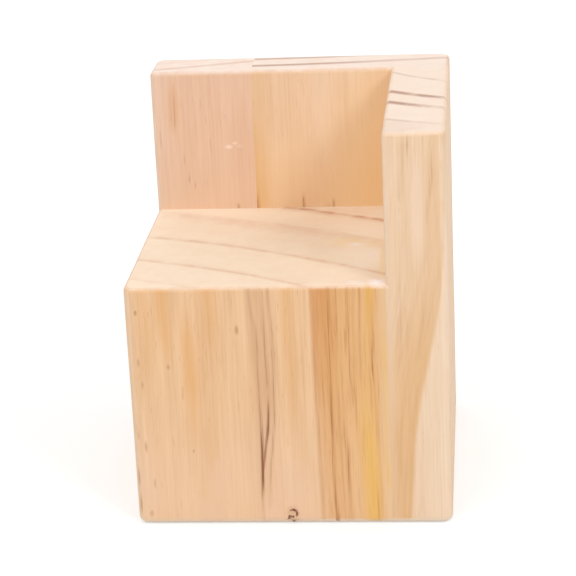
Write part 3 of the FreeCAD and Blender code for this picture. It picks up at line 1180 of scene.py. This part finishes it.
def back_right_pine():
    """Yellowish stave with faint upright grain, warmer beside its glue line, and with painted light near the
    lip's corner, where the side board's shadow falls.
    """
    wood = Pine("back_right_pine", RIGHT_SHIFT)
    late = wood.steps(wood.rings(RIGHT_HEART, RIGHT_LEAN, RIGHT_WOBBLE), RIGHT_RINGS)
    low = wood.fade(wood.z, *RIGHT_LOWER)
    colour = wood.lay(wood.long_tones(*RIGHT_TONES), RIGHT_LOW_COAT, low, wood.front)
    by_glue = wood.times(wood.fade(wood.x, *RIGHT_BESIDE_GLUE), wood.fade(wood.z, *RIGHT_GLUE_HEIGHT))
    colour = wood.lay(colour, RIGHT_GLUE_COAT, by_glue, wood.front)
    # Painted light near the lip's corner, softening the side board's shadow
    corner = wood.times(wood.fade(wood.x, *RIGHT_CORNER), wood.fade(wood.z, *RIGHT_CORNER_HEIGHT))
    colour = wood.lay(colour, RIGHT_CORNER_PAINTED_LIGHT_COAT, corner, wood.front)
    worn = wood.fade(wood.x, *RIGHT_WORN_ACROSS)
    end = wood.lay(wood.end_tones(*RIGHT_END_TONES), RIGHT_RING_COAT, late, worn)
    colour = wood.mix(wood.end_grain, colour, end)
    colour = wood.sanded_and_highlit_edges(colour, *RIGHT_EDGE_TONES)
    colour = wood.lay(colour, RIGHT_STAIN_COAT, wood.lines(wood.x, RIGHT_STAINS), wood.front)
    return wood.bare(colour)


# Floor, light and camera

def seen_directly(tree):
    """The share of rays that show a background: straight to the camera, mirrored or through glass."""
    path = tree.add("LightPath").outputs
    return tree.most(path["Is Camera Ray"], path["Is Glossy Ray"], path["Is Transmission Ray"])


def white_floor():
    """A pale studio floor that keeps the riser's soft shadow."""
    bpy.ops.object.select_all(action="DESELECT")
    bpy.ops.mesh.primitive_plane_add(size=FLOOR_SIZE, location=(0, 0, 0))
    floor = bpy.context.object
    floor.name = "studio_floor"
    paper = bpy.data.materials.new("studio_paper")
    tree = Nodes(paper)
    shade = tree.add("BsdfDiffuse", grey(FLOOR_TONE)).outputs[0]
    glow = tree.add("Emission", None, tree.math("MULTIPLY", seen_directly(tree), FLOOR_GLOW)).outputs[0]
    both = tree.add("AddShader", shade, glow).outputs[0]
    tree.add("OutputMaterial", both)
    floor.data.materials.append(paper)


def white_sky():
    """A white studio: full white where it shows, and an even soft light on the riser."""
    world = bpy.data.worlds.new("white_studio")
    bpy.context.scene.world = world
    tree = Nodes(world)
    level = tree.spread(seen_directly(tree), 0.0, 1.0, SKY_LEVEL, 1.0)
    sky = tree.add("Background", grey(1.0), level).outputs[0]
    tree.add("OutputWorld", sky)


# Soft boxes: name, place in metres, width in metres, watts
SOFT_BOXES = (
    ("key_box", (1.50, -1.70, 1.70), 0.70, 17.6),
    ("fill_box", (-1.30, -2.10, 1.20), 1.80, 20.0),
    ("top_box", (-0.10, -0.30, 2.50), 1.80, 12.5),
    ("back_box", (-1.00, 2.30, 1.30), 1.60, 10.0),
    ("side_box", (2.40, -0.20, 0.90), 1.20, 9.0),
)
LIGHT_AIM = Vector((0.0, 0.0, 60.0)) * MM


def soft_boxes():
    """Square soft boxes that face the riser."""
    for name, place, width, watts in SOFT_BOXES:
        lamp = bpy.data.lights.new(name, "AREA")
        lamp.shape = "SQUARE"
        lamp.size = width
        lamp.energy = watts
        box = bpy.data.objects.new(name, lamp)
        bpy.context.scene.collection.objects.link(box)
        box.location = place
        box.rotation_euler = (LIGHT_AIM - Vector(place)).to_track_quat("-Z", "Y").to_euler()


def photo_camera():
    """The camera at the photograph's place, rolled a little as it was held."""
    camera = bpy.data.cameras.new("photo_camera")
    camera.lens = LENS_LENGTH
    camera.sensor_width = SENSOR_WIDTH
    camera.clip_start = NEAR_LIMIT
    stand = bpy.data.objects.new("photo_camera", camera)
    bpy.context.scene.collection.objects.link(stand)
    ray = (CAMERA_AIM - CAMERA_PLACE).normalized()
    level_right = ray.cross(Vector((0, 0, 1))).normalized()
    level_down = ray.cross(level_right)
    right = level_right * math.cos(CAMERA_ROLL) + level_down * math.sin(CAMERA_ROLL)
    up = right.cross(ray)
    turn = Matrix((right, up, -ray)).transposed()
    stand.matrix_world = Matrix.Translation(CAMERA_PLACE) @ turn.to_4x4()
    bpy.context.scene.camera = stand


# Putting it together

FINISHES = {
    "core_block": ("core_pine", core_pine),
    "side_board": ("side_pine", side_pine),
    "back_stave_left": ("back_left_pine", back_left_pine),
    "back_stave_right": ("back_right_pine", back_right_pine),
}


def dress_staves():
    """Makes the four pieces, gives each its finish and puts it in its node's place."""
    for node, stave in make_staves().items():
        slot, finish = FINISHES[node]
        stave.data.materials.clear()
        stave.data.materials.append(finish())
        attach(stave, "root")
        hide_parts(node)


bpy.context.scene.view_settings.view_transform = "Standard"
photo_camera()
white_sky()
white_floor()
soft_boxes()
dress_staves()
